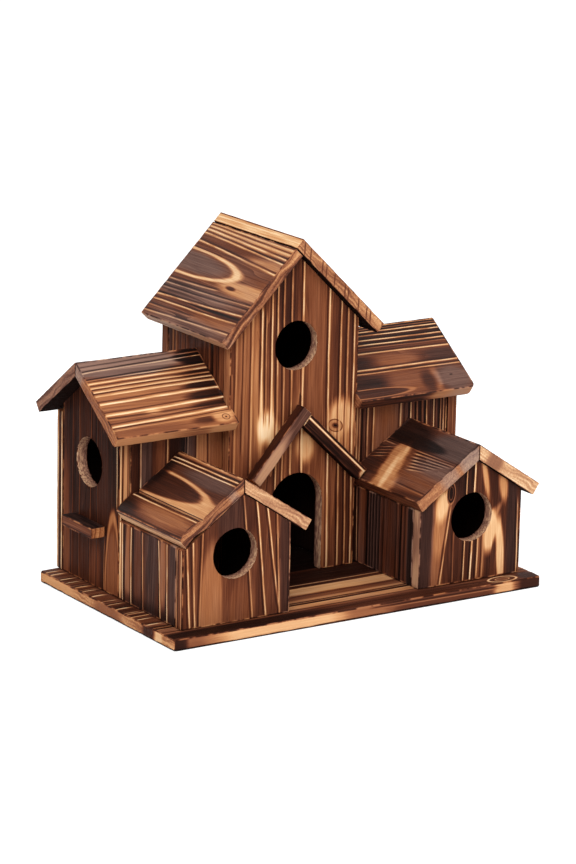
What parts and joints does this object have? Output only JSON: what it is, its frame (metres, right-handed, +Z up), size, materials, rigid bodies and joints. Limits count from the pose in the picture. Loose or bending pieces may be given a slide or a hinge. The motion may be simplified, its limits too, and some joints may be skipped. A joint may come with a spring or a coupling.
{
  "type": "multi-hole wooden birdhouse",
  "caption": "Free-standing wooden birdhouse of burnt softwood boards: a gabled tower with an arched door, side wings with perches and small front houses, all on one base board.",
  "frame": {"origin": "centre of the underside of the base board", "axes": "+X to the right seen from the front, +Y to the back, +Z up; the front houses face -Y"},
  "size_m": [0.3258, 0.2025, 0.2654],
  "materials": {
    "base_wood": "softwood with scorched grain, oiled satin",
    "wall_wood": "softwood with scorched upright grain, oiled satin",
    "roof_wood": "softwood scorched dark with pale raised grain lines, oiled satin",
    "trim_wood": "small strips, dark outer face and pale sawn ends"
  },
  "bodies": {
    "root": {"base_board": "base_wood", "tower_front_board": "wall_wood", "tower_back_board": "wall_wood", "tower_left_side": "wall_wood", "tower_right_side": "wall_wood", "tower_floor": "wall_wood", "tower_roof_left": "roof_wood", "tower_roof_right": "roof_wood", "porch_left_strip": "trim_wood", "porch_right_strip": "trim_wood", "left_wing_gable_wall": "wall_wood", "left_wing_front_wall": "wall_wood", "left_wing_back_wall": "wall_wood", "left_wing_roof_front": "roof_wood", "left_wing_roof_back": "roof_wood", "left_wing_perch": "trim_wood", "right_wing_gable_wall": "wall_wood", "right_wing_front_wall": "wall_wood", "right_wing_back_wall": "wall_wood", "right_wing_roof_front": "roof_wood", "right_wing_roof_back": "roof_wood", "right_wing_perch": "trim_wood", "left_house_front_board": "wall_wood", "left_house_outer_wall": "wall_wood", "left_house_inner_wall": "wall_wood", "left_house_roof_outer": "roof_wood", "left_house_roof_inner": "roof_wood", "right_house_front_board": "wall_wood", "right_house_outer_wall": "wall_wood", "right_house_inner_wall": "wall_wood", "right_house_roof_outer": "roof_wood", "right_house_roof_inner": "roof_wood"}
  },
  "joints": []
}
